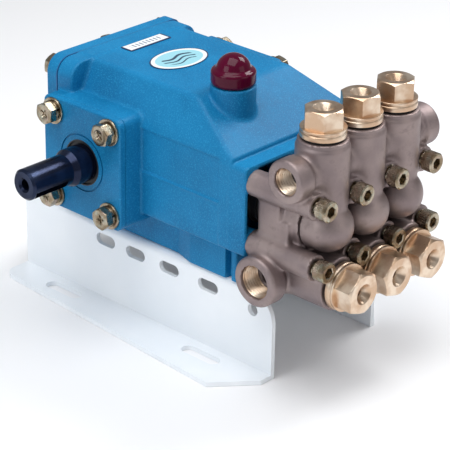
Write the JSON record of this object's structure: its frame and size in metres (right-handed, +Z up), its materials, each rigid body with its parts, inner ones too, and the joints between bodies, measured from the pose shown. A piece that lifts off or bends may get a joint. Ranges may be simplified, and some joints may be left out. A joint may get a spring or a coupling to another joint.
{
  "type": "pressure washer pump",
  "caption": "Triplex plunger pump with a blue crankcase, drive shaft with a keyway, cast valve block with hex plugs and side ports, on a bent sheet base.",
  "frame": {"origin": "centre of the four anchor slots, on the plane the feet stand on", "axes": "+Z up, -X along the drive shaft towards its free end, -Y towards the valve block"},
  "size_m": [0.2054, 0.2763, 0.189],
  "materials": {
    "blue_paint": "satin enamel",
    "gasket": "matte fibre",
    "zinc_yellow": "yellow-passivated zinc plate",
    "seal_rubber": "matte nitrile",
    "bearing_steel": "ground",
    "shaft_steel": "polished black oxide",
    "retainer_black": "moulded",
    "manifold_bronze": "shot-blasted nickel aluminium bronze",
    "plug_bronze": "machined bronze",
    "valve_steel": "stainless",
    "red_cap": "gloss",
    "label_white": "printed film",
    "label_badge": "printed film",
    "base_sheet": "pale powder coat",
    "rod_aluminium": "cast",
    "ceramic": "polished ceramic",
    "sight_glass": "clear"
  },
  "bodies": {
    "housing": {"badge_plate": "label_badge", "base_bolts": "zinc_yellow", "base_plate": "base_sheet", "bearing_cover_bolts": "zinc_yellow", "bearing_cover_left": "blue_paint", "bearing_cover_right": "blue_paint", "bearing_cover_washers": "zinc_yellow", "bearing_outer_races": "bearing_steel", "crankcase": "blue_paint", "crankcase_rod_seals": "seal_rubber", "discharge_plugs": "plug_bronze", "discharge_seats": "valve_steel", "discharge_spring_1": "valve_steel", "discharge_spring_2": "valve_steel", "discharge_spring_3": "valve_steel", "drain_plug": "zinc_yellow", "high_pressure_seals": "seal_rubber", "inlet_plugs": "plug_bronze", "inlet_seats": "valve_steel", "inlet_spring_1": "valve_steel", "inlet_spring_2": "valve_steel", "inlet_spring_3": "valve_steel", "low_pressure_seals": "seal_rubber", "manifold_bolts": "zinc_yellow", "manifold_head": "manifold_bronze", "manifold_washers": "zinc_yellow", "plug_orings": "seal_rubber", "rear_cover": "blue_paint", "rear_cover_bolts": "zinc_yellow", "rear_cover_gasket": "gasket", "seal_retainers": "retainer_black", "shaft_seal": "seal_rubber", "sight_glass": "sight_glass", "spec_label": "label_white"},
    "crank": {"crankshaft": "shaft_steel", "bearing_inner_races": "bearing_steel", "bearing_rollers": "bearing_steel"},
    "oil_cap": {"oil_filler_cap": "red_cap"},
    "rod_1": {"connecting_rod_1": "rod_aluminium", "rod_cap_1": "rod_aluminium", "wrist_pin_1": "bearing_steel"},
    "plunger_1": {"plunger_rod_1": "bearing_steel", "ceramic_plunger_1": "ceramic"},
    "discharge_valve_body_1": {"discharge_valve_1": "valve_steel"},
    "inlet_valve_body_1": {"inlet_valve_1": "valve_steel"},
    "rod_2": {"connecting_rod_2": "rod_aluminium", "rod_cap_2": "rod_aluminium", "wrist_pin_2": "bearing_steel"},
    "plunger_2": {"plunger_rod_2": "bearing_steel", "ceramic_plunger_2": "ceramic"},
    "discharge_valve_body_2": {"discharge_valve_2": "valve_steel"},
    "inlet_valve_body_2": {"inlet_valve_2": "valve_steel"},
    "rod_3": {"connecting_rod_3": "rod_aluminium", "rod_cap_3": "rod_aluminium", "wrist_pin_3": "bearing_steel"},
    "plunger_3": {"plunger_rod_3": "bearing_steel", "ceramic_plunger_3": "ceramic"},
    "discharge_valve_body_3": {"discharge_valve_3": "valve_steel"},
    "inlet_valve_body_3": {"inlet_valve_3": "valve_steel"}
  },
  "joints": [
    {"name": "crank_spin", "type": "hinge", "parent": "housing", "child": "crank", "pos_m": [0, 0.028, 0.109], "axis": [-1, 0, 0], "continuous": true},
    {"name": "rod_pivot_1", "type": "hinge", "parent": "crank", "child": "rod_1", "pos_m": [-0.0325, 0.022, 0.109], "axis": [-1, 0, 0], "continuous": true},
    {"name": "plunger_stroke_1", "type": "slide", "parent": "housing", "child": "plunger_1", "axis": [0, -1, 0], "range_m": [-0.012, 0]},
    {"name": "discharge_valve_lift_1", "type": "slide", "parent": "housing", "child": "discharge_valve_body_1", "axis": [0, 0, 1], "range_m": [0, 0.0025], "stiffness_N_per_m": 400, "springref_m": -0.002, "deforming": ["discharge_spring_1"]},
    {"name": "inlet_valve_lift_1", "type": "slide", "parent": "housing", "child": "inlet_valve_body_1", "axis": [0, -1, 0], "range_m": [0, 0.0025], "stiffness_N_per_m": 400, "springref_m": -0.002, "deforming": ["inlet_spring_1"]},
    {"name": "rod_pivot_2", "type": "hinge", "parent": "crank", "child": "rod_2", "pos_m": [0, 0.031, 0.1142], "axis": [-1, 0, 0], "continuous": true},
    {"name": "plunger_stroke_2", "type": "slide", "parent": "housing", "child": "plunger_2", "axis": [0, -1, 0], "range_m": [-0.003, 0.009]},
    {"name": "discharge_valve_lift_2", "type": "slide", "parent": "housing", "child": "discharge_valve_body_2", "axis": [0, 0, 1], "range_m": [0, 0.0025], "stiffness_N_per_m": 400, "springref_m": -0.002, "deforming": ["discharge_spring_2"]},
    {"name": "inlet_valve_lift_2", "type": "slide", "parent": "housing", "child": "inlet_valve_body_2", "axis": [0, -1, 0], "range_m": [0, 0.0025], "stiffness_N_per_m": 400, "springref_m": -0.002, "deforming": ["inlet_spring_2"]},
    {"name": "rod_pivot_3", "type": "hinge", "parent": "crank", "child": "rod_3", "pos_m": [0.0325, 0.031, 0.1038], "axis": [-1, 0, 0], "continuous": true},
    {"name": "plunger_stroke_3", "type": "slide", "parent": "housing", "child": "plunger_3", "axis": [0, -1, 0], "range_m": [-0.003, 0.009]},
    {"name": "discharge_valve_lift_3", "type": "slide", "parent": "housing", "child": "discharge_valve_body_3", "axis": [0, 0, 1], "range_m": [0, 0.0025], "stiffness_N_per_m": 400, "springref_m": -0.002, "deforming": ["discharge_spring_3"]},
    {"name": "inlet_valve_lift_3", "type": "slide", "parent": "housing", "child": "inlet_valve_body_3", "axis": [0, -1, 0], "range_m": [0, 0.0025], "stiffness_N_per_m": 400, "springref_m": -0.002, "deforming": ["inlet_spring_3"]},
    {"name": "oil_cap_turn", "type": "hinge", "parent": "housing", "child": "oil_cap", "pos_m": [-0.023, -0.051, 0.1696], "axis": [0, 0, 1], "range_deg": [0, 720]}
  ],
  "couplings": [
    {"joint": "rod_pivot_1", "follows": "crank_spin", "ratio": -1},
    {"joint": "rod_pivot_2", "follows": "crank_spin", "ratio": -1},
    {"joint": "rod_pivot_3", "follows": "crank_spin", "ratio": -1}
  ]
}
